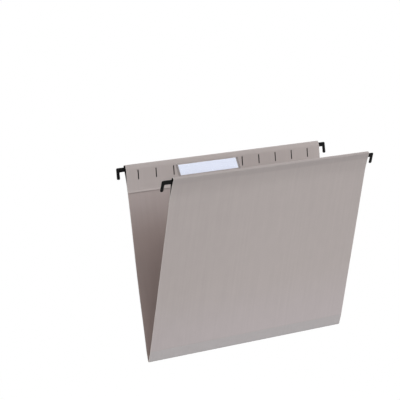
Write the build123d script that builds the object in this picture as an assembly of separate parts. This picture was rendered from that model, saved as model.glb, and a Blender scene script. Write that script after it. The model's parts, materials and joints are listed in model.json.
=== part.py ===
"""Hanging file folder: a scored card body that hangs from two hooked steel rods, with a clear tab.

+X runs along the bottom fold, +Y points to the back panel and +Z is up.
The origin is the middle of the bottom fold. Millimetres and degrees.
"""
import os
from math import asin, cos, pi, radians, sin, tan

from build123d import *

# Card body
body_width = 298.5        # along the fold
panel_height = 235.0      # bottom fold to hem crest, along the panel
strip_height = 12.7       # bottom fold to score line
stock = 0.30              # card thickness
front_lean_angle = 11.9   # front panel from the vertical
back_lean_angle = 11.2    # back panel from the vertical
score_angle = 4.2         # how much further each bottom strip leans than its panel
corner_radius = 1.2       # lower corners of the strips

# Creases: a round bead on each axis, with the sheets starting just clear of it
fold_gap = 0.20           # between the sheets' inner faces when the fold is shut
fold_start = 0.55         # bottom fold's axis to the strips' lower edges
score_start = 0.40        # score axis to the panel's lower edge
crease_clearance = 0.06   # bead to the sheet that turns round it

# Rolled hem
hem_gap = 3.8             # inside width of the roll at the crest
flare_drop = 28.0         # crest to the lower end of the outer layer's first bend
flare_length = 8.0
flare_angle = 5.0         # outer layer above that bend against the panel
channel_drop = 11.0       # crest to the lower end of its second bend
channel_bend_length = 3.0
channel_angle = 9.0       # channel round the rod against the panel
flap_top_length = 2.4     # flap beside the rod, parallel to the outer layer
flap_bend_length = 2.4    # bend from there to the closing stretch
close_angle = 4.5         # flap against the panel, down to the glue line
close_bend_radius = 8.0
glued_length = 4.6        # flap's lower stretch, glued to the panel
glue_thickness = 0.10
glue_margin = 0.8         # glue line to the ends of the glued stretch

# Tab slots in both flaps
slot_inset = 17.0         # left end of the body to the first slot
slot_pitch = 26.15
slot_top = 7.0            # below the crest
slot_height = 11.8
slot_width = 1.5

# Rods with a hook at each end
hook_reach = 11.75        # rod past each end of the body
rod_height = 5.0
rod_thickness = 0.9
rod_drop = 2.6            # crest to the rod's top edge
rod_wall_gap = 0.60       # dipped rod to the outer layer, at the rod's lower edge
front_rod_lean_angle = 16.0   # front rod from the vertical
back_rod_lean_angle = 9.0
hook_drop = 13.5          # rod's top edge to the tip of the hook
hook_width = 3.8
hook_corner = 1.4
hook_throat = 1.2
front_rod_shift = -3.0    # rod's middle against the body's middle, as it lies at rest
back_rod_shift = -0.4
coat_thickness = 0.15
coat_length = 22.0

# Clear tab on the front flap, and its paper insert
tab_first_slot = 0        # one prong sits here, the other in the last slot that the tab still covers
tab_shift = 0.4           # window's middle against the middle between the prongs
insert_length = 83.7
insert_height = 12.7
insert_thickness = 0.25
insert_side_play = 0.20
insert_edge_play = 0.30
insert_corner = 0.06
sleeve_corner = 0.16
tab_end_margin = 3.4      # window past each end of the insert
tab_wall = 0.40
tab_corner = 0.5
tab_hinge_drop = 1.4      # crest to the crease of the tab
tab_lean_angle = 39.0     # window against the front panel
tab_window_start = 0.60   # crease to the window's lower edge
foot_thickness = 0.50
foot_seat = 0.05          # foot to the flap it lies on
foot_depth = 8.0          # crease to the foot's lower edge
prong_top = 9.4           # below the crest
prong_height = 6.0
prong_web = 0.40
prong_clearance = 0.15    # barb to the flap
barb_reach = 4.5
barb_thickness = 0.40
barb_chamfer = 1.5
leg_width = 6.0

# Hem section, in distances inward of the panel's middle line and below the crest
flare_radius = flare_length / radians(flare_angle)
flare_out = flare_radius * (1 - cos(radians(flare_angle)))
flare_rise = flare_radius * sin(radians(flare_angle))
slope_length = (flare_drop - flare_rise - channel_drop) / cos(radians(flare_angle))
slope_out = flare_out + slope_length * sin(radians(flare_angle))
channel_bend_turn = channel_angle - flare_angle
channel_bend_radius = channel_bend_length / radians(channel_bend_turn)
channel_bend_out = channel_bend_radius * (cos(radians(flare_angle)) - cos(radians(channel_angle)))
channel_bend_rise = channel_bend_radius * (sin(radians(channel_angle)) - sin(radians(flare_angle)))
roll_radius = (hem_gap + stock) / 2
roll_drop = roll_radius + stock / 2
roll_start_drop = roll_drop + roll_radius * sin(radians(channel_angle))
channel_length = (channel_drop - channel_bend_rise - roll_start_drop) / cos(radians(channel_angle))
channel_out = slope_out + channel_bend_out + channel_length * sin(radians(channel_angle))
flap_bend_turn = channel_angle + close_angle
flap_bend_radius = flap_bend_length / radians(flap_bend_turn)
flap_bend_in = flap_bend_radius * (cos(radians(close_angle)) - cos(radians(channel_angle)))
flap_bend_rise = flap_bend_radius * (sin(radians(close_angle)) + sin(radians(channel_angle)))
flap_start_in = 2 * roll_radius * cos(radians(channel_angle)) - channel_out
flap_start_drop = roll_drop - roll_radius * sin(radians(channel_angle))
close_start_in = flap_start_in + flap_top_length * sin(radians(channel_angle)) + flap_bend_in
close_start_drop = flap_start_drop + flap_top_length * cos(radians(channel_angle)) + flap_bend_rise
glued_in = stock + glue_thickness
close_bend_in = close_bend_radius * (1 - cos(radians(close_angle)))
close_length = (close_start_in - glued_in - close_bend_in) / sin(radians(close_angle))
close_rise = close_length * cos(radians(close_angle))
glue_top_drop = close_start_drop + close_rise + close_bend_radius * sin(radians(close_angle))

# Rods, creases and slots
rod_length = body_width + 2 * hook_reach
fold_offset = (fold_gap + stock) / 2
fold_bead = fold_start - crease_clearance
score_bead = score_start - crease_clearance
slot_count = int((body_width - 2 * slot_inset) // slot_pitch) + 1
slot_places = [slot_inset - body_width / 2 + slot_pitch * i for i in range(slot_count)]

# Tab
tab_length = insert_length + 2 * tab_end_margin
tab_slot_step = int((tab_length - leg_width - 2 * abs(tab_shift)) // slot_pitch)
prong_places = [slot_places[tab_first_slot], slot_places[tab_first_slot + tab_slot_step]]
tab_middle = sum(prong_places) / 2 + tab_shift
sleeve_gap = insert_thickness + 2 * insert_side_play
sleeve_height = insert_height + 2 * insert_edge_play
window_thickness = sleeve_gap + 2 * tab_wall
window_height = sleeve_height + 2 * tab_wall


def heading(angle):
    """Unit vector at an angle from a section's outward axis."""
    return Vector(cos(radians(angle)), sin(radians(angle)))


def ribbon(start, angle, steps, thickness):
    """Section of a sheet of even thickness that runs straight and curls.

    Each step is a length along the sheet's middle line and the turn to the left that it makes on the way.
    """
    place = start
    left_side = []
    right_side = []
    for length, turn in steps:
        normal = heading(angle + 90)
        shift = normal * (thickness / 2)
        if turn == 0:
            end = place + heading(angle) * length
            left_side.append(Line(place + shift, end + shift))
            right_side.append(Line(place - shift, end - shift))
        else:
            hand = 1 if turn > 0 else -1
            radius = length / radians(abs(turn))
            centre = place + normal * (hand * radius)
            first = angle - 90 * hand
            left_side.append(CenterArc(centre, radius - hand * thickness / 2, first, turn))
            right_side.append(CenterArc(centre, radius + hand * thickness / 2, first, turn))
            angle += turn
            end = centre - heading(angle + 90) * (hand * radius)
        place = end
    first_cap = Line(left_side[0] @ 0, right_side[0] @ 0)
    last_cap = Line(left_side[-1] @ 1, right_side[-1] @ 1)
    return make_face(left_side + [last_cap] + right_side + [first_cap])


class Side:
    """One half of the folder, drawn in a section whose axes are outward from the fold and up."""

    def __init__(self, outward, lean, rod_lean):
        self.outward = outward
        self.lean = lean
        self.rod_angle = 90 - rod_lean
        self.section = Plane(origin=(0, 0, 0), x_dir=(0, outward, 0), z_dir=(outward, 0, 0))
        self.up_angle = 90 - lean
        self.strip_angle = 90 - lean - score_angle
        self.up = heading(self.up_angle)
        self.inward = heading(self.up_angle + 90)
        strip_up = heading(self.strip_angle)
        self.strip_foot = heading(self.strip_angle - 90) * fold_offset
        self.score = self.strip_foot + strip_up * strip_height
        self.crest = self.score + self.up * (panel_height - strip_height)

    def point(self, inward, drop):
        """Section point a distance inward of the panel's middle line and below the crest."""
        return self.crest + self.inward * inward - self.up * drop

    def world(self, place, x=0.0):
        """Section point or direction in the folder's own axes."""
        return Vector(x, self.outward * place.X, place.Y)

    def sheet_plane(self, place, angle, x=0.0):
        """Plane with x along the fold and y along a section direction."""
        along = self.world(heading(angle))
        return Plane(origin=self.world(place, x), x_dir=(1, 0, 0), z_dir=Vector(1, 0, 0).cross(along))

    def extruded(self, face, length, x=0.0):
        """Section face run along the fold, half the length each way from x."""
        return Pos(x, 0, 0) * extrude(self.section * face, length / 2, both=True)

    def bead(self, place, radius, length):
        """Round crease bead along the fold."""
        return self.extruded(Pos(place.X, place.Y) * Circle(radius), length)


front = Side(-1, front_lean_angle, front_rod_lean_angle)
back = Side(1, back_lean_angle, back_rod_lean_angle)


def flap_point(side, distance, inward=0.0):
    """Point along the flap's closing stretch, from its top, and off its middle line."""
    top = side.point(close_start_in, close_start_drop)
    return top + heading(side.up_angle + 180 + close_angle) * distance + heading(
        side.up_angle + 90 + close_angle) * inward


def flap_distance(drop):
    """Distance along the flap's closing stretch at which it lies that far below the crest."""
    return (drop - close_start_drop) / cos(radians(close_angle))


def panel(side):
    """Card panel: straight wall, flare, rod channel, rolled crest and flap with its row of slots."""
    straight = panel_height - strip_height - score_start - flare_drop
    steps = [
        (straight, 0),
        (flare_length, -flare_angle),
        (slope_length, 0),
        (channel_bend_length, -channel_bend_turn),
        (channel_length, 0),
        (pi * roll_radius, 180),
        (flap_top_length, 0),
        (flap_bend_length, flap_bend_turn),
        (close_length, 0),
        (radians(close_angle) * close_bend_radius, -close_angle),
        (glued_length, 0),
    ]
    sheet = ribbon(side.score + side.up * score_start, side.up_angle, steps, stock)
    body = side.extruded(sheet, body_width)
    first = flap_point(side, flap_distance(slot_top))
    slit = ribbon(first, side.up_angle + 180 + close_angle, [(slot_height, 0)], 2 * stock)
    return body - [side.extruded(slit, slot_width, x) for x in slot_places]


def hem_glue(side):
    """Glue line between the flap's lower stretch and the panel."""
    middle = (stock + glue_thickness) / 2
    top = side.point(middle, glue_top_drop + glue_margin)
    line = ribbon(top, side.up_angle + 180, [(glued_length - 2 * glue_margin, 0)], glue_thickness)
    return side.extruded(line, body_width)


def bottom_strip(side):
    """Card strip between fold and score, with rounded lower corners and the score's bead on its top."""
    height = strip_height - fold_start
    foot = side.strip_foot + heading(side.strip_angle) * fold_start
    outline = Rectangle(body_width, height, align=(Align.CENTER, Align.MIN))
    outline = fillet(outline.vertices().group_by(Axis.Y)[0], corner_radius)
    sheet = extrude(side.sheet_plane(foot, side.strip_angle) * outline, stock / 2, both=True)
    return sheet + side.bead(side.score, score_bead, body_width)


def bottom_fold():
    """Rounded edge of the folded sheet, between the strips' rounded corners."""
    return back.bead(Vector(0, 0), fold_bead, body_width - 2 * corner_radius)


def wall_out(drop):
    """How far the outer layer's middle line lies outward of the panel's, that far below the crest."""
    height = channel_drop - drop
    if height < 0:
        return slope_out + height * tan(radians(flare_angle))
    if height > channel_bend_rise:
        return slope_out + channel_bend_out + (height - channel_bend_rise) * tan(radians(channel_angle))
    bent = asin(sin(radians(flare_angle)) + height / channel_bend_radius)
    return slope_out + channel_bend_radius * (cos(radians(flare_angle)) - cos(bent))


def rod_place(side):
    """Section point at the rod's top edge, found from its lower edge, which lies close to the outer layer."""
    foot_drop = rod_drop + rod_height + coat_thickness
    foot_in = stock / 2 - wall_out(foot_drop) + rod_wall_gap + coat_thickness + rod_thickness / 2
    return side.point(foot_in, foot_drop) + heading(side.rod_angle) * (rod_height + coat_thickness)


def rod_outline():
    """Rod seen square on: a bar with a hook at each end, its top edge on y = 0."""
    outline = Rectangle(rod_length, rod_height, align=(Align.CENTER, Align.MAX))
    for end in (-1, 1):
        leg = Rectangle(hook_width, hook_drop, align=(Align.CENTER, Align.MAX))
        outline += Pos(end * (rod_length - hook_width) / 2, 0) * leg
    throats = outline.vertices().group_by(Axis.Y)[1]
    outline = fillet(throats, hook_throat)
    tips = outline.vertices().group_by(Axis.Y)[0] + outline.vertices().group_by(Axis.Y)[-1]
    return fillet(tips, hook_corner)


def rod(side, shift):
    """Stamped steel rod in its hem."""
    plane = side.sheet_plane(rod_place(side), side.rod_angle, shift)
    return extrude(plane * rod_outline(), rod_thickness / 2, both=True)


def hook_coat(side, shift, end):
    """Plastic dip round one hooked end of a rod."""
    skin = offset(rod_outline(), coat_thickness)
    reach = rod_length / 2 + coat_thickness
    depth = hook_drop + 2 * coat_thickness
    window = Rectangle(coat_length + coat_thickness, depth, align=(Align.MIN, Align.MAX))
    corner = -reach if end < 0 else reach - coat_length - coat_thickness
    dipped = skin & Pos(corner, coat_thickness) * window
    plane = side.sheet_plane(rod_place(side), side.rod_angle, shift)
    thickness = rod_thickness / 2 + coat_thickness
    return extrude(plane * dipped, thickness, both=True) - rod(side, shift)


def tab_crease():
    """Section point of the crease between the tab's foot and its window."""
    return flap_point(front, flap_distance(tab_hinge_drop), (stock + foot_thickness) / 2 + foot_seat)


def tab_foot():
    """Plate on the flap's inner face, with a leg and a barbed prong at each of two slots."""
    crease = tab_crease()
    angle = front.up_angle + close_angle
    plane = front.sheet_plane(crease, angle, tab_middle)
    along = cos(radians(close_angle))
    prong_start = (prong_top - tab_hinge_drop) / along
    leg_depth = prong_start + prong_height + prong_web
    plate = Rectangle(tab_length, foot_depth, align=(Align.CENTER, Align.MAX))
    for place in prong_places:
        leg = Rectangle(leg_width, leg_depth, align=(Align.CENTER, Align.MAX))
        plate += Pos(place - tab_middle, 0) * leg
    foot = extrude(plane * plate, foot_thickness / 2, both=True)
    foot += Pos(tab_middle, 0, 0) * front.bead(crease, tab_window_start - crease_clearance, tab_length)
    barb_face = foot_thickness / 2 + foot_seat + stock + prong_clearance
    barb_back = barb_face + barb_thickness
    for hand, place in zip((-1, 1), prong_places):
        at = Pos(place - tab_middle, -prong_start, 0)
        web = Box(prong_web, prong_height, barb_back, align=(Align.CENTER, Align.MAX, Align.MIN))
        barb = Box(barb_reach, prong_height, barb_thickness, align=(Align.CENTER, Align.MAX, Align.MIN))
        outer_edges = barb.edges().filter_by(Axis.Z).group_by(Axis.X)[0 if hand < 0 else -1]
        barb = chamfer(outer_edges, barb_chamfer)
        barb = Pos(hand * (barb_reach - prong_web) / 2, 0, barb_face) * barb
        foot += plane * at * (web + barb)
    return foot


def window_section(width, height, corner):
    """Rounded section centred in the tab's window, in the front half's section plane."""
    angle = front.up_angle + tab_lean_angle
    centre = tab_crease() + heading(angle) * (tab_window_start + window_height / 2)
    return Pos(centre.X, centre.Y) * Rot(0, 0, angle - 90) * RectangleRounded(width, height, corner)


def tab_window():
    """Clear flat sleeve, open at both ends."""
    outer = window_section(window_thickness, window_height, tab_corner)
    inner = window_section(sleeve_gap, sleeve_height, sleeve_corner)
    return front.extruded(outer - inner, tab_length, tab_middle)


def tab_insert():
    """Paper strip inside the window."""
    strip = window_section(insert_thickness, insert_height, insert_corner)
    return front.extruded(strip, insert_length, tab_middle)


def build():
    """Every sub-part by its node name."""
    nodes = {}
    for name, side, shift in (("front", front, front_rod_shift), ("back", back, back_rod_shift)):
        nodes[f"{name}_panel"] = panel(side)
        nodes[f"{name}_hem_glue"] = hem_glue(side)
        nodes[f"{name}_bottom_strip"] = bottom_strip(side)
        nodes[f"{name}_rod"] = rod(side, shift)
        for end, hand in ((-1, "left"), (1, "right")):
            nodes[f"{name}_{hand}_hook_coat"] = hook_coat(side, shift, end)
    nodes["bottom_fold"] = bottom_fold()
    nodes["tab_foot"] = tab_foot()
    nodes["tab_window"] = tab_window()
    nodes["tab_insert"] = tab_insert()
    return nodes


os.makedirs("parts", exist_ok=True)
for node, shape in build().items():
    export_step(shape, f"parts/{node}.step")
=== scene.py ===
"""Hanging file folder: creased card body, dipped rod hooks and clear tab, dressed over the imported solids."""
import json
from math import cos, pi, radians, sin

import bpy
import numpy as np
from bpy.props import FloatProperty, FloatVectorProperty, IntProperty, PointerProperty
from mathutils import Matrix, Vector


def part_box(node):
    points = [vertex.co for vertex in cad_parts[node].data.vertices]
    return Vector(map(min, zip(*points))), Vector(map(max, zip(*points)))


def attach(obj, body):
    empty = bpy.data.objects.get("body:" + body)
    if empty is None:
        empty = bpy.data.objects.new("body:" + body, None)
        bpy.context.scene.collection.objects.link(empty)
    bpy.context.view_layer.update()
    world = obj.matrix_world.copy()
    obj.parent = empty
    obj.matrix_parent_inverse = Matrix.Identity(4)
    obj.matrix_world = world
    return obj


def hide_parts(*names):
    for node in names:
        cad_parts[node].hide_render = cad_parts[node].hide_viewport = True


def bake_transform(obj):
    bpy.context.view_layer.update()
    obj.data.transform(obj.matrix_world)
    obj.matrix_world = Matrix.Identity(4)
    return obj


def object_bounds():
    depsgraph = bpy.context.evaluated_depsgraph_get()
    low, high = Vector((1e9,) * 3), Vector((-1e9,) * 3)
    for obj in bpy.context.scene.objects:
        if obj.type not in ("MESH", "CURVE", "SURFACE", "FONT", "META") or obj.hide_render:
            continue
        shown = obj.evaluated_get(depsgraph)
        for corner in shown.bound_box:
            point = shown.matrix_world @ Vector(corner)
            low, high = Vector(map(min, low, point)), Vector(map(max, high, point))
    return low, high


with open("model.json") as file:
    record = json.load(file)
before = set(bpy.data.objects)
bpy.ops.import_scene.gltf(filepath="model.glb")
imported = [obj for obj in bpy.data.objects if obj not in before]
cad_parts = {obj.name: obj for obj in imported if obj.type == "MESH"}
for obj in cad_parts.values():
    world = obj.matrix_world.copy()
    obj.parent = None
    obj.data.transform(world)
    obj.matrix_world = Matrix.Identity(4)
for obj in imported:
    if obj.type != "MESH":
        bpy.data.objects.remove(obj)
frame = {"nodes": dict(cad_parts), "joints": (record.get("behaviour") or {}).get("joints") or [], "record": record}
cad_low, cad_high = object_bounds()

bl_info = {
    "name": "Hanging File Folder",
    "version": (1, 0, 0),
    "blender": (4, 5, 0),
    "location": "View3D > Sidebar > Folder",
    "description": "Card body with rolled hems, dipped rod hooks, clear tab and a white studio",
    "category": "Object",
}

MM = 0.001
FRAME_WIDTH = 36.0
JOINT_AT = {joint["name"]: joint.get("pos_m") for joint in frame["joints"]}
MOUNTS = {mount["name"]: mount for mount in frame["record"]["mounts"]}
SQUARE = np.array([(-1, -1), (1, -1), (1, 1), (-1, 1)])

# The card's UV map holds distances in metres. Each face of a panel lies whole steps further along it, so that
# its noises differ, and rounding takes the steps off again.
SHEET_MAP = "CardSheet"
MAP_STEP = 1.0

# Where hem_steps has the roll over the crest and the first end of the slots.
ROLL_STEP = 7
SLOT_STEP = 11

# Slow waves of a panel: height, length along the fold, length up the panel, phase, phase added at the back.
WAVES = (
    (0.6, 0.083, 0.31, 1.3, 1.0),
    (0.8, 0.137, -0.47, -0.7, 2.1),
    (0.7, 0.221, 0.19, 2.0, -1.0),
)

# Soft lamps: name, place and size.
LAMPS = (
    ("key", (1.4, -2.8, 3.6), 3.0),
    ("back", (0.4, 2.1, 4.6), 3.0),
    ("fill", (-3.4, -2.0, 1.0), 2.5),
    ("rear", (0.9, 3.4, 1.1), 2.5),
)


def length(label, description, millimetres):
    """A length setting, given in millimetres and kept in metres."""
    return FloatProperty(name=label, description=description, default=millimetres * MM, precision=5,
                         subtype="DISTANCE", unit="LENGTH")


def turn(label, description, degrees):
    """An angle setting, given in degrees and kept in radians."""
    return FloatProperty(name=label, description=description, default=radians(degrees),
                         subtype="ANGLE", unit="ROTATION")


def share(label, description, value):
    """A plain factor setting."""
    return FloatProperty(name=label, description=description, default=value, min=0.0, subtype="FACTOR")


def power(label, description, watts):
    """A lamp's power setting."""
    return FloatProperty(name=label, description=description, default=watts, min=0.0, unit="POWER")


def colour(label, description, linear):
    """A colour setting in linear light."""
    return FloatVectorProperty(name=label, description=description, default=linear, size=3,
                               min=0.0, max=1.0, subtype="COLOR")


class CardSettings(bpy.types.PropertyGroup):
    """Sizes and colours of the card body."""
    body_width: length("Body Width", "Card along the bottom fold", 298.5)
    panel_height: length("Panel Height", "Bottom fold to hem crest, along the panel", 235.0)
    strip_height: length("Strip Height", "Bottom fold to score line", 12.7)
    stock: length("Stock", "Card thickness", 0.30)
    front_lean: turn("Front Lean", "Front panel from the vertical", 11.9)
    back_lean: turn("Back Lean", "Back panel from the vertical", 11.2)
    score_bend: turn("Score Bend", "Lean of a bottom strip past its panel's", 4.2)
    fold_radius: length("Fold Radius", "Middle of the card round the bottom fold", 0.25)
    crease_length: length("Crease Length", "Stretch of card that bends at a score line", 1.0)
    strip_lap: length("Strip Lap", "Panel card carried past the crease", 0.6)
    corner_radius: length("Corner Radius", "Lower corners of the folded body", 1.2)
    hem_gap: length("Hem Gap", "Inside width of the roll at the crest", 3.8)
    flare_drop: length("Flare Drop", "Crest to the lower end of the first outward bend", 28.0)
    flare_length: length("Flare Length", "Stretch of that bend", 8.0)
    flare_angle: turn("Flare Angle", "Card above that bend against the panel", 5.0)
    channel_drop: length("Channel Drop", "Crest to the lower end of the second bend", 11.0)
    channel_bend_length: length("Channel Bend Length", "Stretch of the second bend", 3.0)
    channel_angle: turn("Channel Angle", "Channel round the rod against the panel", 9.0)
    flap_top_length: length("Flap Top Length", "Flap beside the rod, parallel to the outer layer", 2.4)
    flap_bend_length: length("Flap Bend Length", "Bend from there to the closing stretch", 2.4)
    close_angle: turn("Close Angle", "Flap against the panel down to the glue line", 4.5)
    close_bend_radius: length("Close Bend Radius", "Bend where the flap meets the panel", 8.0)
    glued_length: length("Glued Length", "Flap's lower stretch on the panel", 4.6)
    glue_thickness: length("Glue Thickness", "Glue between flap and panel", 0.10)
    slot_count: IntProperty(name="Slot Count", description="Tab slots in each flap", default=11, min=1)
    slot_inset: length("Slot Inset", "Left end of the body to the first slot", 17.0)
    slot_pitch: length("Slot Pitch", "From one slot to the next", 26.15)
    slot_top: length("Slot Top", "Top of a slot below the crest", 7.0)
    slot_height: length("Slot Height", "Length of a slot along the flap", 11.8)
    slot_width: length("Slot Width", "Width of a slot", 1.5)
    ripple: length("Ripple", "Height of the slow waves in the panels", 0.16)
    back_bow: length("Back Bow", "Outward bow of the back panel at mid-height", 0.9)
    film_height: length("Film Height", "Reinforcing film below the crest on the outside", 9.6)
    edge_lift: turn("Edge Lift", "Bend of the flap's lower edge off the panel", 16.0)
    card_colour: colour("Card Colour", "Warm grey card", (0.424, 0.380, 0.369))
    # Painted light: the printed face turns lighter and bluer towards the bottom fold, standing in for light
    # bounced up from the floor.
    bounce_lit_colour: colour("Low Colour", "Warm grey card towards the bottom fold", (0.441, 0.396, 0.398))
    # Painted shade and bounce light: the inside face is darker and redder than the printed face, and more so from
    # mid-height down.
    inside_colour: colour("Inside Colour", "Inside face of the card", (0.380, 0.326, 0.315))
    deep_shade_colour: colour("Deep Colour", "Inside face from mid-height down", (0.374, 0.305, 0.287))
    # Painted shade: near-black on the inside face within the hem's tunnel.
    hem_shade_colour: colour("Lining Colour", "Inside face within the hem", (0.020, 0.018, 0.017))
    # The crest film's darker tone is painted shade of the band that leans outward below the crest.
    shaded_crest_film_colour: colour("Crest Colour", "Card seen through the film along the crest", (0.362, 0.324, 0.316))
    foot_colour: colour("Foot Colour", "Card seen through the film along the fold", (0.410, 0.384, 0.386))
    worn_colour: colour("Worn Colour", "Rubbed card along the side edges", (0.480, 0.440, 0.425))
    cut_colour: colour("Cut Colour", "Raw core at the cut edges", (0.600, 0.565, 0.540))
    glue_colour: colour("Glue Colour", "Dried glue line", (0.700, 0.660, 0.550))


class HookSettings(bpy.types.PropertyGroup):
    """Sizes and colours of the rods and their dipped hooks."""
    rod_height: length("Rod Height", "Steel strip, top to bottom edge", 5.0)
    rod_thickness: length("Rod Thickness", "Steel strip", 0.9)
    hook_drop: length("Hook Drop", "Rod's top edge to the tip of the hook", 13.5)
    hook_width: length("Hook Width", "Leg of the hook", 3.8)
    hook_corner: length("Hook Corner", "Outer corners of the hook", 1.4)
    hook_throat: length("Hook Throat", "Inner corner between bar and leg", 1.2)
    coat_thickness: length("Coat Thickness", "Plastic dip on the steel", 0.15)
    coat_length: length("Coat Length", "Dipped end of the rod", 22.0)
    coat_round: length("Coat Round", "Rounding of the dipped edges", 0.42)
    coat_drip: length("Coat Drip", "Thickening of the dip towards the tip", 0.12)
    coat_colour: colour("Coat Colour", "Black dipped plastic", (0.002, 0.002, 0.002))
    steel_colour: colour("Steel Colour", "Rolled steel strip", (0.550, 0.550, 0.550))


class TabSettings(bpy.types.PropertyGroup):
    """Sizes and colours of the clear tab and its insert."""
    insert_length: length("Insert Length", "Paper insert along the folder", 83.7)
    insert_height: length("Insert Height", "Paper insert, top to bottom edge", 12.7)
    insert_thickness: length("Insert Thickness", "Paper insert", 0.25)
    insert_curl: length("Insert Curl", "Curl of the insert in its sleeve", 0.08)
    sleeve_gap: length("Sleeve Gap", "Inside thickness of the sleeve", 0.65)
    sleeve_height: length("Sleeve Height", "Inside height of the sleeve", 13.3)
    wall: length("Wall", "Clear plastic", 0.40)
    wall_corner: length("Wall Corner", "Corner of the sleeve at mid-wall", 0.33)
    end_margin: length("End Margin", "Sleeve past each end of the insert", 3.4)
    window_start: length("Window Start", "Bend line to the sleeve's lower edge", 0.60)
    tab_lean: turn("Tab Lean", "Sleeve against the front panel", 39.0)
    clear_colour: colour("Clear Colour", "What the plastic lets through", (0.995, 0.995, 0.995))
    # Painted shade: the plastic lets less through past the insert's ends.
    margin_shade_colour: colour("Margin Colour", "The same past the insert", (0.925, 0.928, 0.930))
    haze_colour: colour("Haze Colour", "Faint haze on the plastic", (0.250, 0.250, 0.260))
    paper_colour: colour("Paper Colour", "White insert", (0.812, 0.857, 1.0))


class StageSettings(bpy.types.PropertyGroup):
    """Camera, lights and floor."""
    camera_azimuth: turn("Camera Azimuth", "Looking direction, from +Y towards +X", 36.95)
    camera_pitch: turn("Camera Pitch", "Looking direction below the horizon", 11.085)
    camera_place: FloatVectorProperty(name="Camera Place", description="Eye point", size=3, subtype="XYZ",
                                      unit="LENGTH", default=(-1.4155, -1.7852, 0.6244))
    camera_lens: FloatProperty(name="Camera Lens", description="Focal length on a 36 mm frame",
                               default=172.17, min=1.0, unit="CAMERA")
    floor_size: length("Floor Size", "Edge of the floor", 2400.0)
    floor_drop: length("Floor Drop", "Room under the folder for its front half hung open", 260.0)
    floor_colour: colour("Floor Colour", "Pale floor", (0.92, 0.92, 0.92))
    floor_glow: share("Floor Glow", "Share of plain white in the floor near the folder", 0.80)
    sky_strength: share("Sky Strength", "Even light from all round", 0.18)
    key_power: power("Key Power", "Large soft lamp at the front", 157.0)
    back_power: power("Back Power", "Large soft lamp above the back", 97.0)
    fill_power: power("Fill Power", "Large soft lamp at the left", 52.0)
    rear_power: power("Rear Power", "Large soft lamp behind the back panel", 70.0)


def heading(angle):
    """Unit vectors (cosine, sine) for an array of angles."""
    return np.stack([np.cos(angle), np.sin(angle)], axis=-1)


def sheet_line(start, angle, steps):
    """Middle line of a sheet in its section, with left normals and the distance along it.

    Each step is (length, left turn, rows). The heading grows evenly along a step, so a row advances by the
    chord of a circular arc: the arc length times sin(h)/h, where h is half the row's turn.
    """
    spans, turns, rows = (np.array(values, float) for values in zip(*steps))
    rows = rows.astype(int)
    run = np.repeat(spans / rows, rows)
    bend = np.repeat(turns / rows, rows)
    angles = angle + np.concatenate([[0.0], np.cumsum(bend)])
    chords = (run * np.sinc(bend / (2 * np.pi)))[:, None] * heading(angles[:-1] + bend / 2)
    points = np.asarray(start) + np.concatenate([np.zeros((1, 2)), np.cumsum(chords, axis=0)])
    return points, heading(angles + np.pi / 2), np.concatenate([[0.0], np.cumsum(run)])


def rounded_path(corners, radii, steps):
    """Closed outline through rounded corners, counter-clockwise, with its outward normals.

    At each corner the heading turns evenly; a point is the tangent point moved by the radius times the change
    of the outward normal, with the sign of the turn, so that hollow corners work too.
    """
    corners = np.asarray(corners, float)
    ahead = np.roll(corners, -1, axis=0) - corners
    ahead /= np.linalg.norm(ahead, axis=1, keepdims=True)
    behind = np.roll(ahead, 1, axis=0)
    bend = np.arctan2(behind[:, 0] * ahead[:, 1] - behind[:, 1] * ahead[:, 0], np.sum(behind * ahead, axis=1))
    radii = np.asarray(radii, float)
    tangent = corners - behind * (radii * np.tan(np.abs(bend) / 2))[:, None]
    first = np.arctan2(behind[:, 1], behind[:, 0]) - np.pi / 2
    normals = heading(first[:, None] + bend[:, None] * np.linspace(0.0, 1.0, steps + 1))
    reach = (np.sign(bend) * radii)[:, None, None]
    points = tangent[:, None] + reach * (normals - normals[:, :1])
    return points.reshape(-1, 2), normals.reshape(-1, 2)


def grid_quads(rows, columns, wrap_rows=False, wrap_columns=False):
    """Corner indices of the cells of a grid, optionally closed on itself either way."""
    ids = np.arange(rows * columns).reshape(rows, columns)
    ids = np.pad(ids, ((0, wrap_rows), (0, wrap_columns)), mode="wrap")
    return np.stack([ids[:-1, :-1], ids[:-1, 1:], ids[1:, 1:], ids[1:, :-1]], axis=-1)


def make_piece(name, points, faces, materials, face_slots=None, uv=None, sharp_angle=35.0):
    """Mesh object at the origin from arrays of points and faces."""
    mesh = bpy.data.meshes.new(name)
    mesh.from_pydata(points.reshape(-1, 3), [], faces)
    for material in materials:
        mesh.materials.append(material)
    if face_slots is not None:
        mesh.polygons.foreach_set("material_index", np.asarray(face_slots, np.int32))
    if uv is not None:
        layer = mesh.uv_layers.new(name=SHEET_MAP)
        layer.uv.foreach_set("vector", np.asarray(uv, np.float32).ravel())
    mesh.shade_smooth()
    mesh.set_sharp_from_angle(angle=radians(sharp_angle))
    mesh.validate()
    piece = bpy.data.objects.new(name, mesh)
    bpy.context.scene.collection.objects.link(piece)
    return piece


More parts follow.
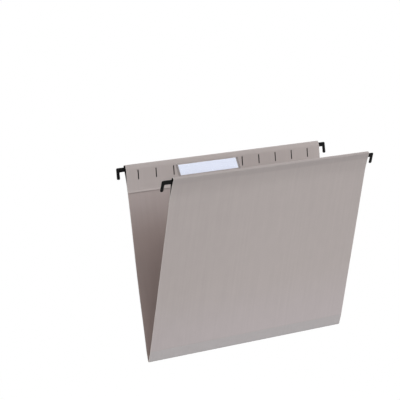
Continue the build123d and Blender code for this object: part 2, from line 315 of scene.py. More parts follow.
def card_piece(name, middle, normal, stock, grain, materials, face_slots, flip=False, holes=()):
    """Card of even thickness over a grid of its middle surface, with the cells of the holes punched out.

    Both faces are the middle surface moved half a thickness along its normal. Every side of a kept cell with
    no kept cell beyond it gets a wall, so the sheet is closed round its outline and round each hole. grain
    holds, for each grid point, the place along the fold and along the sheet, which is the map of the face
    along the normal and of the walls. The other face's map lies one step further on. face_slots gives the
    materials of the face along the normal, which the holes' walls share, of the other face and of the
    outline's walls.
    """
    rows, columns = middle.shape[:2]
    count = rows * columns
    keep = np.ones((rows - 1, columns - 1), bool)
    if holes:
        keep[holes] = False
    quads = grid_quads(rows, columns)
    ids = np.arange(count).reshape(rows, columns)
    kept = np.pad(keep, 1)
    above, below = kept[:-1, 1:-1], kept[1:, 1:-1]
    before, after = kept[1:-1, :-1], kept[1:-1, 1:]
    across = np.stack([ids[:, :-1], ids[:, 1:]], axis=-1)
    along = np.stack([ids[:-1, :], ids[1:, :]], axis=-1)
    rims = np.concatenate([
        across[below & ~above][:, ::-1],
        across[above & ~below],
        along[after & ~before],
        along[before & ~after][:, ::-1],
    ])
    walls = np.concatenate([rims, rims[:, ::-1] + count], axis=1)
    sides = np.concatenate([quads[keep], quads[keep][:, ::-1] + count])
    if flip:
        sides, walls = sides[:, ::-1], walls[:, ::-1]
    faces = np.concatenate([sides, walls])
    offset = normal * (stock / 2)
    points = np.concatenate([(middle + offset).reshape(-1, 3), (middle - offset).reshape(-1, 3)])
    flat = grain.reshape(-1, 2)
    far_side = flat + [MAP_STEP, 0.0]
    uv = np.concatenate([np.concatenate([flat, far_side])[sides], np.tile(flat, (2, 1))[walls]])
    cells = int(keep.sum())
    on_outline = ~np.pad(np.ones((rows - 2, columns - 2), bool), 1).ravel()
    wall_slots = np.where(on_outline[rims].all(axis=1), face_slots[2], face_slots[0])
    slots = np.concatenate([np.repeat(face_slots[:2], cells), wall_slots])
    return make_piece(name, points, faces, materials, slots, uv)


def put(tree, kind, inputs=(), **options):
    """Adds a shader node, sets its options and feeds its inputs with values or with other nodes' outputs."""
    made = tree.nodes.new("ShaderNode" + kind)
    for key, value in options.items():
        setattr(made, key, value)
    for key, value in dict(inputs).items():
        socket = made.inputs[key]
        if isinstance(value, bpy.types.NodeSocket):
            tree.links.new(value, socket)
        else:
            socket.default_value = (*value, 1.0) if socket.type == "RGBA" else value
    return made


def calc(tree, operation, first, second=0.0, third=0.0):
    """Output of a maths node."""
    return put(tree, "Math", {0: first, 1: second, 2: third}, operation=operation).outputs[0]


def ramp(tree, value, low, high, to_low=0.0, to_high=1.0):
    """Output of a smooth step from to_low at low to to_high at high."""
    inputs = {"Value": value, "From Min": low, "From Max": high, "To Min": to_low, "To Max": to_high}
    return put(tree, "MapRange", inputs, interpolation_type="SMOOTHSTEP").outputs["Result"]


def tint(tree, factor, first, second, mode="MIX"):
    """Output of a colour mix."""
    inputs = {0: factor, 6: first, 7: second}
    return put(tree, "Mix", inputs, data_type="RGBA", blend_type=mode).outputs[2]


def noise(tree, place, scale, detail=3.0):
    """Cloudy noise whose grain is set by one scale or a scale for each axis, in spots per metre."""
    scale = np.broadcast_to(scale, 3)
    spread = put(tree, "VectorMath", {0: place, 1: scale}, operation="MULTIPLY").outputs[0]
    return put(tree, "TexNoise", {"Vector": spread, "Scale": 1.0, "Detail": detail}).outputs["Fac"]


def shade(tree, base, *noises, drifts=()):
    """Base colour times a level: one, plus each noise about its middle and each drift times its share."""
    level = 1.0 - sum(amount for _, amount in noises) / 2
    for fac, amount in (*noises, *drifts):
        level = calc(tree, "MULTIPLY_ADD", fac, amount, level)
    grey = put(tree, "CombineColor", {0: level, 1: level, 2: level}).outputs[0]
    return tint(tree, 1.0, base, grey, "MULTIPLY")


def principled(name, **sockets):
    """New material, its node tree and its Principled shader, whose sockets are named with _ for a space."""
    material = bpy.data.materials.new(name)
    material.use_nodes = True
    tree = material.node_tree
    tree.nodes.clear()
    shader = put(tree, "BsdfPrincipled")
    for key, value in sockets.items():
        shader.inputs[key.replace("_", " ")].default_value = value
    output = put(tree, "OutputMaterial")
    tree.links.new(shader.outputs[0], output.inputs["Surface"])
    return material, tree, shader


def on_solid(name, **sockets):
    """What principled gives, and the Object coordinates of the piece."""
    material, tree, shader = principled(name, **sockets)
    return material, tree, shader, put(tree, "TexCoord").outputs["Object"]


def feed(tree, shader, **sockets):
    """Links other nodes' outputs to the shader's sockets, named with _ for a space."""
    for key, value in sockets.items():
        tree.links.new(value, shader.inputs[key.replace("_", " ")])


def bumped(tree, height, strength, distance):
    """Normal of a bump from a height."""
    bump = put(tree, "Bump", {"Height": height, "Strength": strength, "Distance": distance})
    return bump.outputs["Normal"]


def show(tree, cover, below, above):
    """Puts a mix of two shaders on the surface, the second one with the given cover."""
    mixed = put(tree, "MixShader", {0: cover, 1: below.outputs[0], 2: above.outputs[0]})
    tree.links.new(mixed.outputs[0], tree.nodes["Material Output"].inputs["Surface"])


class SheetFace:
    """Matte card on one face of the sheet, with the places and noises that its tones follow.

    along is the distance past the crest, negative down the panel, and sideways the distance from the middle
    of the fold. Streaks run upright, clouds are the paper's formation and fibres its tooth.
    """

    def __init__(self, name, card):
        self.card = card
        self.material, tree, self.shader = principled(name, Specular_IOR_Level=0.3)
        self.tree = tree
        place = put(tree, "UVMap", uv_map=SHEET_MAP).outputs["UV"]
        column, self.along, _ = put(tree, "SeparateXYZ", {0: place}).outputs
        self.sideways = calc(tree, "SUBTRACT", column, calc(tree, "ROUND", column))
        self.streaks = noise(tree, place, (330.0, 9.0, 0.0), 4.0)
        self.clouds = noise(tree, place, (70.0, 55.0, 0.0), 4.0)
        self.fibres = noise(tree, place, (2600.0, 700.0, 0.0), 2.0)

    def rise(self, start, end):
        """0 before one distance past the crest, 1 after another."""
        return ramp(self.tree, self.along, start, end)

    def fall(self, start, end):
        """1 before one distance past the crest, 0 after another."""
        return ramp(self.tree, self.along, start, end, 1.0, 0.0)

    def left_shade(self):
        """1 at the left end of the card, 0 from a little past its middle: the mask of painted shade towards the
        left.
        """
        half = self.card.body_width / 2
        return ramp(self.tree, self.sideways, -half, 0.2 * half, 1.0, 0.0)

    def paper(self, base, *drifts):
        """Base colour with the paper's noises and the drifts given, which paint light and shade."""
        noises = ((self.streaks, 0.10), (self.clouds, 0.06), (self.fibres, 0.12))
        return shade(self.tree, base, *noises, drifts=drifts)

    def finish(self, coloured, matte=0.80, tooth=1.0):
        """Rubs the side edges in patches and sets colour, roughness and relief."""
        tree, fibres = self.tree, self.fibres
        half = self.card.body_width / 2
        worn_width = 1.1 * MM
        side = ramp(tree, calc(tree, "ABSOLUTE", self.sideways), half - worn_width, half)
        rubbed = calc(tree, "MULTIPLY", side, ramp(tree, self.clouds, 0.35, 0.65, 0.45, 0.9))
        relief = calc(tree, "MULTIPLY_ADD", fibres, tooth, self.streaks)
        feed(tree, self.shader, Base_Color=tint(tree, rubbed, coloured, self.card.worn_colour),
             Roughness=calc(tree, "MULTIPLY_ADD", fibres, 0.12, matte),
             Normal=bumped(tree, relief, 0.25, 0.06 * MM))
        return self.material


def card_material(card):
    """Printed face: film along crest and fold, painted shade on the roll, below it, along the fold and towards the
    left end, painted light on the flap and towards the bottom.
    """
    face = SheetFace("warm_grey_card", card)
    tree = face.tree
    height, film_height = card.panel_height, card.film_height
    score = card.strip_height - height
    crest_shade_drop = 36 * MM
    film_edge = 1.2 * MM
    fold_shade_height = 1.6 * MM
    # Painted light bounced from the floor: lighter and bluer towards the bottom fold.
    bounce_light = face.fall(-0.95 * height, -0.60 * height)
    plain = tint(tree, bounce_light, card.card_colour, card.bounce_lit_colour)
    outside = face.fall(-2.4 * MM, -1.0 * MM)
    # Painted shade on the outside below the crest film, where the card leans outward.
    crest_shade = calc(tree, "MULTIPLY", outside, face.rise(-crest_shade_drop, -film_height))
    # Painted shade: the top of the roll over the crest is made darker against the light from above.
    rolled = ramp(tree, calc(tree, "ABSOLUTE", face.along), 0.4 * MM, 3.0 * MM, 1.0, 0.0)
    # Painted light on the flap just inside the roll.
    flap = face.rise(1.0 * MM, 4.0 * MM)
    # Painted shade towards the left end, stronger on the flap.
    left = face.left_shade()
    flap_left_shade = calc(tree, "MULTIPLY", flap, left)
    paper = face.paper(plain, (crest_shade, -0.06), (rolled, -0.18), (flap, 0.09), (flap_left_shade, -0.05),
                       (left, -0.04))
    foot = face.fall(score - film_edge, score + film_edge)
    hem = calc(tree, "MULTIPLY", outside, face.rise(-film_height - film_edge, film_edge - film_height))
    film = calc(tree, "MAXIMUM", hem, foot)
    # Painted shade: a dark line along the underside of the bottom fold, on the film.
    creased = face.fall(-height, fold_shade_height - height)
    # The crest film's darker tone is painted shade.
    filmed = tint(tree, foot, card.shaded_crest_film_colour, card.foot_colour)
    filmed = shade(tree, filmed, (face.streaks, 0.10), (face.clouds, 0.05), drifts=[(creased, -0.35)])
    matte = ramp(tree, film, 0.0, 1.0, 0.80, 0.50)
    tooth = ramp(tree, film, 0.0, 1.0, 1.0, 0.3)
    return face.finish(tint(tree, film, paper, filmed), matte, tooth)


def inside_material(card):
    """Plain inside face: painted shade makes it redder towards the fold and dark where the sheet runs inside the
    hem, painted light makes it lighter towards the fold.
    """
    face = SheetFace("card_inside", card)
    tree = face.tree
    height, hem_shaded_drop = card.panel_height, card.flare_drop
    fade = 2 * MM
    # Painted shade: darker and redder from mid-height down, standing in for light bounced inside the V.
    deep_shade = face.fall(-0.42 * height, -0.18 * height)
    plain = tint(tree, deep_shade, card.inside_colour, card.deep_shade_colour)
    # Painted shade: the inside face turns near-black inside the hem's tunnel.
    risen = face.rise(-hem_shaded_drop, fade - hem_shaded_drop)
    hem_shaded = calc(tree, "MULTIPLY", risen, face.fall(hem_shaded_drop - fade, hem_shaded_drop))
    plain = tint(tree, hem_shaded, plain, card.hem_shade_colour)
    # Painted light: the inside face is lighter towards the fold, standing in for light bounced down into the V.
    fold_light = face.fall(-height, -0.3 * height)
    # Painted shade towards the left end.
    return face.finish(face.paper(plain, (fold_light, 0.28), (face.left_shade(), -0.04)))


def cut_material(card):
    """Raw paper core at a cut edge, in fine layers."""
    material, tree, shader, body = on_solid("cut_card_edge", Roughness=0.9, Specular_IOR_Level=0.2)
    layers = noise(tree, body, (900.0, 900.0, 300.0))
    feed(tree, shader, Base_Color=shade(tree, card.cut_colour, (layers, 0.35)),
         Normal=bumped(tree, layers, 0.4, 0.05 * MM))
    return material


def glue_material(card):
    """Dried glue with uneven spread."""
    material, tree, shader, body = on_solid("dried_glue", Specular_IOR_Level=0.4)
    beads = noise(tree, body, (160.0, 400.0, 400.0))
    feed(tree, shader, Base_Color=shade(tree, card.glue_colour, (beads, 0.3)),
         Roughness=ramp(tree, beads, 0.3, 0.7, 0.35, 0.6))
    return material


def coat_material(hook):
    """Black dipped plastic: a soft sheen with fine orange peel and rubbed patches."""
    material, tree, shader, body = on_solid("black_dip", Specular_IOR_Level=0.1)
    peel = noise(tree, body, 1400.0, 2.0)
    rubs = noise(tree, body, 220.0, 4.0)
    feed(tree, shader, Base_Color=shade(tree, hook.coat_colour, (rubs, 0.9)),
         Roughness=ramp(tree, rubs, 0.3, 0.7, 0.42, 0.58), Normal=bumped(tree, peel, 0.25, 0.04 * MM))
    return material


def steel_material(hook):
    """Rolled steel strip with drawing lines along the rod."""
    material, tree, shader, body = on_solid("rolled_steel", Metallic=1.0)
    lines = noise(tree, body, (25.0, 2600.0, 2600.0))
    spots = noise(tree, body, 180.0, 4.0)
    feed(tree, shader, Base_Color=shade(tree, hook.steel_colour, (lines, 0.25), (spots, 0.2)),
         Roughness=ramp(tree, lines, 0.25, 0.75, 0.28, 0.48), Normal=bumped(tree, lines, 0.2, 0.02 * MM))
    return material


def clear_material(tab):
    """Clear plastic film: lets the light straight through under a thin glossy skin, with faint scuffs, and less
    past the insert's ends as painted shade.
    """
    material, tree, shader, body = on_solid("clear_film", Specular_IOR_Level=0.5)
    scuffs = noise(tree, body, (60.0, 900.0, 900.0))
    feed(tree, shader, Base_Color=shade(tree, tab.haze_colour, (scuffs, 0.2)),
         Roughness=ramp(tree, scuffs, 0.3, 0.7, 0.06, 0.16))
    # Painted shade past the insert's ends: less passes there.
    low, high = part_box("tab_window")
    place = put(tree, "SeparateXYZ", {0: body}).outputs["X"]
    off_middle = calc(tree, "ABSOLUTE", calc(tree, "SUBTRACT", place, (low.x + high.x) / 2))
    past = ramp(tree, off_middle, tab.insert_length / 2, tab.insert_length / 2 + tab.wall)
    passed = tint(tree, past, tab.clear_colour, tab.margin_shade_colour)
    through = put(tree, "BsdfTransparent", {"Color": passed})
    show(tree, ramp(tree, scuffs, 0.2, 0.8, 0.02, 0.045), through, shader)
    return material


def paper_material(tab):
    """Plain white insert paper with faint fibres."""
    material, tree, shader, body = on_solid("white_insert", Roughness=0.85, Specular_IOR_Level=0.25)
    fibres = noise(tree, body, 1500.0)
    clouds = noise(tree, body, 120.0)
    feed(tree, shader, Base_Color=shade(tree, tab.paper_colour, (fibres, 0.05), (clouds, 0.04)),
         Normal=bumped(tree, fibres, 0.15, 0.03 * MM))
    return material


def shared(name, maker, settings):
    """Material by name, made the first time it is asked for."""
    return bpy.data.materials.get(name) or maker(settings)


def card_materials(card):
    """Printed face, inside face and cut edge of the card."""
    return [shared("warm_grey_card", card_material, card), shared("card_inside", inside_material, card),
            shared("cut_card_edge", cut_material, card)]


class Half:
    """One half of the folder in its section, whose axes are outward from the fold and up."""

    def __init__(self, card, name):
        self.name = name
        self.outward = -1.0 if name == "front" else 1.0
        self.up_angle = pi / 2 - (card.front_lean if name == "front" else card.back_lean)
        self.strip_angle = self.up_angle - card.score_bend
        place = JOINT_AT[f"{name}_score"]
        self.score = np.array([self.outward * place[1], place[2]])

    def world(self, section, x):
        """Section points, or directions with x = 0, carried to places along the fold."""
        section, x = np.broadcast_arrays(section[..., None, :], np.asarray(x)[..., None])
        return np.stack([x[..., 0], self.outward * section[..., 0], section[..., 1]], axis=-1)


def hem_steps(card):
    """Steps of the card from the score line over the crest to the flap's edge.

    The card bends outward twice, runs straight beside the rod, rolls half a turn over the crest, runs back
    parallel, bends towards the panel, closes on it along the slotted stretch, bends level with it and is
    glued to it. The flap's lower edge bends slightly off the panel. After the steps come the wall's height
    below the hem and the run from the roll's start to the crest.
    """
    flare, lean, close = card.flare_angle, card.channel_angle, card.close_angle
    flare_radius = card.flare_length / flare
    slope = (card.flare_drop - flare_radius * sin(flare) - card.channel_drop) / cos(flare)
    bend_radius = card.channel_bend_length / (lean - flare)
    bend_rise = bend_radius * (sin(lean) - sin(flare))
    roll_radius = (card.hem_gap + card.stock) / 2
    roll_drop = roll_radius + card.stock / 2
    roll_start = roll_drop + roll_radius * sin(lean)
    channel = (card.channel_drop - bend_rise - roll_start) / cos(lean)
    channel_out = (flare_radius * (1 - cos(flare)) + slope * sin(flare)
                   + bend_radius * (cos(flare) - cos(lean)) + channel * sin(lean))
    flap_radius = card.flap_bend_length / (lean + close)
    close_in = (2 * roll_radius * cos(lean) - channel_out + card.flap_top_length * sin(lean)
                + flap_radius * (cos(close) - cos(lean)))
    close_drop = (roll_drop - roll_radius * sin(lean) + card.flap_top_length * cos(lean)
                  + flap_radius * (sin(close) + sin(lean)))
    bend_in = card.close_bend_radius * (1 - cos(close))
    glued_in = card.stock + card.glue_thickness
    close_length = (close_in - glued_in - bend_in) / sin(close)
    wall = card.panel_height - card.strip_height - card.flare_drop
    slot_start = (card.slot_top - close_drop) / cos(close)
    slot_end = 0.5 * MM
    free_bend = 1.0 * MM
    free_edge = 1.6 * MM
    steps = [
        (card.strip_lap, 0.0, 2),
        (card.crease_length, card.score_bend, 6),
        (wall - card.crease_length / 2, 0.0, 52),
        (card.flare_length, -flare, 8),
        (slope, 0.0, 4),
        (card.channel_bend_length, flare - lean, 6),
        (channel, 0.0, 4),
        (roll_radius * pi, pi, 26),
        (card.flap_top_length, 0.0, 2),
        (card.flap_bend_length, lean + close, 6),
        (slot_start, 0.0, 1),
        (slot_end, 0.0, 4),
        (card.slot_height - 2 * slot_end, 0.0, 8),
        (slot_end, 0.0, 4),
        (close_length - slot_start - card.slot_height, 0.0, 3),
        (card.close_bend_radius * close, -close, 5),
        (card.glued_length - free_bend - free_edge, 0.0, 4),
        (free_bend, -card.edge_lift, 4),
        (free_edge, 0.0, 2),
    ]
    return steps, wall, roll_radius * (lean + pi / 2)


def slot_columns(card):
    """Places of the grid's columns along the fold, the slots' middles, and the first column of each slot.

    Even columns, with those near a slot left out and the slot's two edges and their two neighbours put in.
    """
    half = card.body_width / 2
    centres = card.slot_inset - half + card.slot_pitch * np.arange(card.slot_count)
    edges = card.slot_width * np.array([-1.6, -0.5, 0.5, 1.6])
    room = 2.6 * card.slot_width
    even_columns = 73
    even = np.linspace(-half, half, even_columns)
    clear = np.abs(even[:, None] - centres).min(axis=1) > room
    places = np.sort(np.concatenate([even[clear], (centres[:, None] + edges).ravel()]))
    return places, centres, np.searchsorted(places, centres) - 1


class FOLDER_OT_card_panels(bpy.types.Operator):
    """Front and back panel with rolled hem, slotted flap and the crease to the bottom strip"""
    bl_idname = "folder.card_panels"
    bl_label = "Card Panels"

    def execute(self, context):
        card = context.scene.folder_card
        materials = card_materials(card)
        for number, name in enumerate(("front", "back")):
            self.panel(card, Half(card, name), number, materials)
        return {"FINISHED"}

    def panel(self, card, half, number, materials):
        """One panel: the hem section carried along the fold.

        Over the wall the sheet is moved along its normal by slow waves, the sum of three sines in the two
        directions, and by the back panel's bow; both fade with a squared sine. The slots' edges come together
        towards their ends along a quarter ellipse, down to a blunt tip.
        """
        wave_start, wave_margin = 3 * MM, 22 * MM
        blunt_tip = 0.2
        steps, wall, crest_run = hem_steps(card)
        lead = card.strip_lap + card.crease_length / 2
        start = half.score - heading(half.strip_angle) * lead
        line, normals, distance = sheet_line(start, half.strip_angle, steps)
        row_ends = np.cumsum([rows for _, _, rows in steps])
        crest = distance[row_ends[ROLL_STEP - 1]] + crest_run
        slot_rows = np.arange(row_ends[SLOT_STEP - 1], row_ends[SLOT_STEP + 2] + 1)
        slot_run = distance[slot_rows]
        places, centres, first = slot_columns(card)
        x = np.tile(places, (len(line), 1))
        from_end = np.minimum(slot_run - slot_run[0], slot_run[-1] - slot_run)
        from_end = np.clip(from_end / (distance[row_ends[SLOT_STEP]] - slot_run[0]), 0.0, 1.0)
        pinch = np.maximum(np.sqrt(1 - (1 - from_end) ** 2), blunt_tip)[:, None]
        for column in (first, first + 1):
            rest = x[np.ix_(slot_rows, column)]
            x[np.ix_(slot_rows, column)] = centres + (rest - centres) * pinch
        normal = half.world(normals, np.zeros_like(x))
        rise = (distance - lead - wave_start) / (wall - wave_margin)
        fade = np.sin(np.pi * np.clip(rise, 0.0, 1.0))[:, None] ** 2
        up = distance[:, None]
        height, across, upward, phase, change = np.array(WAVES).T[..., None, None]
        swing = 2 * np.pi * (x / across + up / upward) + phase + change * number
        waves = np.sum(height * np.sin(swing), axis=0)
        lift = fade * (card.ripple * waves - (card.back_bow if half.name == "back" else 0.0))
        middle = half.world(line, x) + normal * lift[..., None]
        grain = np.stack(np.broadcast_arrays(x + 2 * MAP_STEP * number, up - crest), axis=-1)
        piece = card_piece(f"{half.name}_panel_card", middle, normal, card.stock, grain, materials, (1, 0, 2),
                           flip=half.outward < 0, holes=np.ix_(slot_rows[:-1], first))
        above = half.world(half.score + heading(half.up_angle) * card.crease_length / 2, 0.0)[0]
        below = half.world(half.score - heading(half.strip_angle) * card.crease_length / 2, 0.0)[0]
        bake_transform(piece)
        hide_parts(f"{half.name}_panel")


class FOLDER_OT_bottom_fold(bpy.types.Operator):
    """Both bottom strips and the fold between them, as one bent sheet with rounded corners"""
    bl_idname = "folder.bottom_fold"
    bl_label = "Bottom Fold"

    def execute(self, context):
        # The strip's line turns through the fold. Near the fold its ends are drawn in along a quarter circle.
        card = context.scene.folder_card
        materials = card_materials(card)
        front, back = Half(card, "front"), Half(card, "back")
        lead = card.strip_lap + card.crease_length / 2
        start = back.score - heading(back.strip_angle) * lead
        near = 4 * MM
        strip = card.strip_height - lead - near
        bend = -(front.strip_angle + back.strip_angle)
        fold = card.fold_radius * abs(bend)
        steps = [(strip, 0.0, 6), (near, 0.0, 16), (fold, bend, 14), (near, 0.0, 16), (strip, 0.0, 6)]
        line, normals, distance = sheet_line(start, back.strip_angle + pi, steps)
        from_fold = np.abs(distance - distance[-1] / 2)
        inset = np.clip(card.corner_radius - from_fold, 0.0, None)
        reach = card.body_width / 2 - card.corner_radius + np.sqrt(card.corner_radius**2 - inset**2)
        columns = 61
        x = np.linspace(-1.0, 1.0, columns) * reach[:, None]
        middle, normal = back.world(line, x), back.world(normals, np.zeros_like(x))
        grain = np.stack(np.broadcast_arrays(x, (from_fold - card.panel_height)[:, None]), axis=-1)
        piece = card_piece("bottom_fold_card", middle, normal, card.stock, grain, materials, (0, 1, 2))
        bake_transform(piece)
        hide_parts("front_bottom_strip", "back_bottom_strip", "bottom_fold")
        return {"FINISHED"}


class FOLDER_OT_hook_coats(bpy.types.Operator):
    """Black dipped plastic round the four hooked rod ends"""
    bl_idname = "folder.hook_coats"
    bl_label = "Hook Coats"

    def execute(self, context):
        hook = context.scene.folder_hook
        for side in ("front", "back"):
            low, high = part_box(f"{side}_rod")
            for hand, end, tip in (("left", -1.0, low.x), ("right", 1.0, high.x)):
                self.coat(hook, side, hand, end, tip)
        return {"FINISHED"}

    def coat(self, hook, side, hand, end, tip):
        """One dipped end: the hook's outline as rings across its thickness, with rounded edges.

        A ring at angle a of the edge's quarter circles lies the radius times 1 - cos(a) inside the outline.
        Towards the tip the dip thickens with a bell curve of the height above the toe, less at its edges.
        """
        edge_rings, corner_steps = 6, 10
        drip_reach, drip_at_edge = 3 * MM, 0.6
        skin = hook.coat_thickness
        inner = -hook.coat_length - skin
        foot = -hook.rod_height - skin
        toe = -hook.hook_drop - skin
        leg = -hook.hook_width - skin
        corners = [(inner, foot), (leg, foot), (leg, toe), (skin, toe), (skin, skin), (inner, skin)]
        outer = hook.hook_corner + skin
        radii = [hook.coat_round, hook.hook_throat - skin, outer, outer, outer, hook.coat_round]
        outline, normals = rounded_path(corners, radii, corner_steps)
        if end < 0:
            outline, normals = (values[::-1] * [-1.0, 1.0] for values in (outline, normals))
        drip = hook.coat_drip * np.exp(-((outline[:, 1] - toe) / drip_reach) ** 2)
        quarter = np.linspace(0.0, np.pi / 2, edge_rings)
        angle = np.concatenate([-quarter[::-1], quarter])
        inset = hook.coat_round * (1 - np.cos(angle))
        rings = outline + (drip_at_edge * drip - inset[:, None])[..., None] * normals
        flat = hook.rod_thickness / 2 + skin - hook.coat_round + drip
        facing = np.repeat([-1.0, 1.0], edge_rings)[:, None]
        depth = facing * flat + hook.coat_round * np.sin(angle)[:, None]
        mount = MOUNTS[f"{side}_{hand}_hook"]
        up = -np.array(mount["axis"])
        seat = np.array(mount["pos_m"]) + up * (hook.rod_height + skin)
        seat[0] = tip
        through = np.cross([1.0, 0.0, 0.0], up)
        points = seat + rings[..., :1] * [1.0, 0.0, 0.0] + rings[..., 1:] * up + depth[..., None] * through
        count = len(outline)
        faces = grid_quads(len(angle), count, wrap_columns=True).reshape(-1, 4).tolist()
        faces.append(list(range(count))[::-1])
        faces.append(list(range((len(angle) - 1) * count, len(angle) * count)))
        dip = shared("black_dip", coat_material, hook)
        piece = make_piece(f"{side}_{hand}_hook_dip", points, faces, [dip])
        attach(piece, f"{side}_rod")
        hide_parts(f"{side}_{hand}_hook_coat")


class FOLDER_OT_rods(bpy.types.Operator):
    """Finish of the steel rods and of the glue lines in the hems"""
    bl_idname = "folder.rods"
    bl_label = "Rods and Glue"

    def execute(self, context):
        scene = context.scene
        steel = shared("rolled_steel", steel_material, scene.folder_hook)
        glue = shared("dried_glue", glue_material, scene.folder_card)
        for side in ("front", "back"):
            finish_node(f"{side}_rod", steel)
            finish_node(f"{side}_hem_glue", glue)
        return {"FINISHED"}


def finish_node(node, material):
    """Gives a carried-over solid its material."""
    solid = frame["nodes"][node]
    solid.data.materials.clear()
    solid.data.materials.append(material)


class FOLDER_OT_clear_tab(bpy.types.Operator):
    """Clear sleeve of the tab, and the finish of its foot"""
    bl_idname = "folder.clear_tab"
    bl_label = "Clear Tab"

    def execute(self, context):
        tab = context.scene.folder_tab
        clear = shared("clear_film", clear_material, tab)
        self.sleeve(tab, context.scene.folder_card, clear)
        finish_node("tab_foot", clear)
        return {"FINISHED"}

    def sleeve(self, tab, card, clear):
        """Sleeve open at both ends: a rounded outline whose wall is itself a rounded loop along the fold.

        A point is the outline at mid-wall moved along its normal by the wall loop's offset, and along the
        fold by that loop's place, so the grid closes both ways.
        """
        outline_steps, rim_steps = 6, 4
        rim_corner = 0.45 * tab.wall
        mid_wall = SQUARE * [tab.sleeve_gap + tab.wall, tab.sleeve_height + tab.wall] / 2
        outline, normals = rounded_path(mid_wall, [tab.wall_corner] * 4, outline_steps)
        reach = tab.insert_length / 2 + tab.end_margin
        loop, _ = rounded_path(SQUARE * [reach, tab.wall / 2], [rim_corner] * 4, rim_steps)
        section = outline + loop[:, 1, None, None] * normals
        points = tab_points(tab, card, section, loop[:, :1])
        faces = grid_quads(len(loop), len(outline), True, True).reshape(-1, 4)
        piece = make_piece("tab_sleeve", points, faces, [clear], sharp_angle=50.0)
        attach(piece, "tab_window")
        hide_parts("tab_window")


def tab_points(tab, card, section, x):
    """Points of the tab's window, from offsets across and up the leaning window and places along the fold."""
    half = Half(card, "front")
    place = JOINT_AT["tab_tilt"]
    crease = np.array([half.outward * place[1], place[2]])
    rise = heading(half.up_angle + tab.tab_lean)
    across = heading(half.up_angle + tab.tab_lean - np.pi / 2)
    centre = crease + rise * (tab.window_start + tab.sleeve_height / 2 + tab.wall)
    flat = centre + section[..., :1] * across + section[..., 1:] * rise
    low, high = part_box("tab_window")
    x = np.broadcast_to((low.x + high.x) / 2 + x, flat.shape[:-1])
    return np.stack([x, half.outward * flat[..., 0], flat[..., 1]], axis=-1)


class FOLDER_OT_tab_insert(bpy.types.Operator):
    """White paper insert in the sleeve"""
    bl_idname = "folder.tab_insert"
    bl_label = "Tab Insert"

    def execute(self, context):
        # The curl is a cosine up the insert times a sine along it. The normal is a step of one across it.
        tab, card = context.scene.folder_tab, context.scene.folder_card
        paper = shared("white_insert", paper_material, tab)
        columns, rows = 49, 13
        curl_swing = 4.2
        along, up = np.meshgrid(np.linspace(-0.5, 0.5, columns), np.linspace(-0.5, 0.5, rows))
        curl = tab.insert_curl * np.cos(np.pi * up) * np.sin(curl_swing * along)
        along, up = along * tab.insert_length, up * tab.insert_height
        middle = tab_points(tab, card, np.stack([curl, up], axis=-1), along)
        normal = tab_points(tab, card, np.stack([curl + 1.0, up], axis=-1), along) - middle
        flat = np.stack([along, up], axis=-1)
        piece = card_piece("tab_insert_paper", middle, normal, tab.insert_thickness, flat, [paper], (0, 0, 0))
        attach(piece, "tab_insert")
        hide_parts("tab_insert")
        return {"FINISHED"}


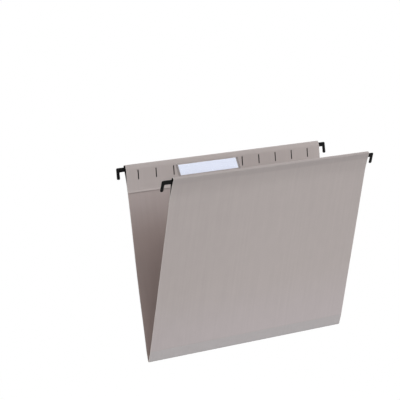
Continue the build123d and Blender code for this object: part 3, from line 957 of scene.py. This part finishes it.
class FOLDER_OT_stage(bpy.types.Operator):
    """White floor, soft lamps, even sky and the camera"""
    bl_idname = "folder.stage"
    bl_label = "Stage"

    def execute(self, context):
        stage = context.scene.folder_stage
        self.floor(stage)
        self.sky(context.scene, stage)
        for name, place, size in LAMPS:
            self.lamp(f"{name}_lamp", getattr(stage, f"{name}_power"), place, size)
        self.camera(context.scene, stage)
        context.scene.view_settings.view_transform = "Standard"
        return {"FINISHED"}

    def seen(self, tree):
        """1 on rays that show a surface: from the camera, in a mirror or through clear plastic."""
        path = put(tree, "LightPath").outputs
        shown = calc(tree, "MAXIMUM", path["Is Camera Ray"], path["Is Glossy Ray"])
        return calc(tree, "MAXIMUM", shown, path["Is Transmission Ray"])

    def floor(self, stage):
        """Flat floor under the hanging folder, part lit paint and part plain white, all white further out."""
        size = stage.floor_size
        white_from, white_to = 0.15 * size, 0.35 * size
        material, tree, shader, body = on_solid("pale_floor", Roughness=1.0, Specular_IOR_Level=0.0)
        dust = noise(tree, body, 3.0, 2.0)
        feed(tree, shader, Base_Color=shade(tree, stage.floor_colour, (dust, 0.02)))
        white = put(tree, "Emission", {"Strength": 1.0})
        away = put(tree, "VectorMath", {0: body}, operation="LENGTH").outputs["Value"]
        glow = ramp(tree, away, white_from, white_to, stage.floor_glow, 1.0)
        show(tree, calc(tree, "MULTIPLY", self.seen(tree), glow), shader, white)
        lines = 3
        places = np.linspace(-size / 2, size / 2, lines)
        x, y = np.meshgrid(places, places)
        z = np.full_like(x, cad_low.z - stage.floor_drop)
        points = np.stack([x, y, z], axis=-1)
        make_piece("floor", points, grid_quads(lines, lines).reshape(-1, 4), [material])

    def sky(self, scene, stage):
        """Even white sky, plain white where it is seen."""
        world = bpy.data.worlds.new("studio_sky")
        world.use_nodes = True
        tree = world.node_tree
        tree.nodes.clear()
        strength = ramp(tree, self.seen(tree), 0.0, 1.0, stage.sky_strength, 1.0)
        background = put(tree, "Background", {"Strength": strength, "Color": (1.0, 1.0, 1.0)})
        output = put(tree, "OutputWorld")
        tree.links.new(background.outputs[0], output.inputs["Surface"])
        scene.world = world

    def lamp(self, name, power, place, size):
        """Square soft lamp aimed at the middle of the folder."""
        light = bpy.data.lights.new(name, "AREA")
        light.energy = power
        light.size = size
        lamp = bpy.data.objects.new(name, light)
        lamp.location = place
        middle = (cad_low + cad_high) / 2
        lamp.rotation_euler = (middle - Vector(place)).to_track_quat("-Z", "Y").to_euler()
        bpy.context.scene.collection.objects.link(lamp)

    def camera(self, scene, stage):
        """Long lens at the photograph's viewing angle."""
        view = bpy.data.cameras.new("camera")
        view.lens = stage.camera_lens
        view.sensor_width = FRAME_WIDTH
        view.clip_end = 200.0
        camera = bpy.data.objects.new("camera", view)
        camera.location = stage.camera_place
        camera.rotation_euler = (pi / 2 - stage.camera_pitch, 0.0, -stage.camera_azimuth)
        scene.collection.objects.link(camera)
        scene.camera = camera


class FOLDER_PT_sidebar(bpy.types.Panel):
    """Settings and steps of the folder"""
    bl_idname = "FOLDER_PT_sidebar"
    bl_label = "Hanging File Folder"
    bl_space_type = "VIEW_3D"
    bl_region_type = "UI"
    bl_category = "Folder"

    def draw(self, context):
        layout = self.layout
        for operator in OPERATORS:
            layout.operator(operator.bl_idname)
        for name, group in SETTINGS.items():
            box = layout.box()
            for key in group.__annotations__:
                box.prop(getattr(context.scene, name), key)


SETTINGS = {
    "folder_card": CardSettings,
    "folder_hook": HookSettings,
    "folder_tab": TabSettings,
    "folder_stage": StageSettings,
}
OPERATORS = (
    FOLDER_OT_card_panels,
    FOLDER_OT_bottom_fold,
    FOLDER_OT_hook_coats,
    FOLDER_OT_rods,
    FOLDER_OT_clear_tab,
    FOLDER_OT_tab_insert,
    FOLDER_OT_stage,
)
CLASSES = (*SETTINGS.values(), *OPERATORS, FOLDER_PT_sidebar)


def register():
    """Registers the settings, the operators and the sidebar."""
    for kind in CLASSES:
        bpy.utils.register_class(kind)
    for name, group in SETTINGS.items():
        setattr(bpy.types.Scene, name, PointerProperty(type=group))


def unregister():
    """Takes back what register adds."""
    for name in SETTINGS:
        delattr(bpy.types.Scene, name)
    for kind in reversed(CLASSES):
        bpy.utils.unregister_class(kind)


def main():
    """Makes every piece in order."""
    register()
    bpy.ops.folder.card_panels()
    bpy.ops.folder.bottom_fold()
    bpy.ops.folder.hook_coats()
    bpy.ops.folder.rods()
    bpy.ops.folder.clear_tab()
    bpy.ops.folder.tab_insert()
    bpy.ops.folder.stage()


if __name__ == "__main__":
    main()
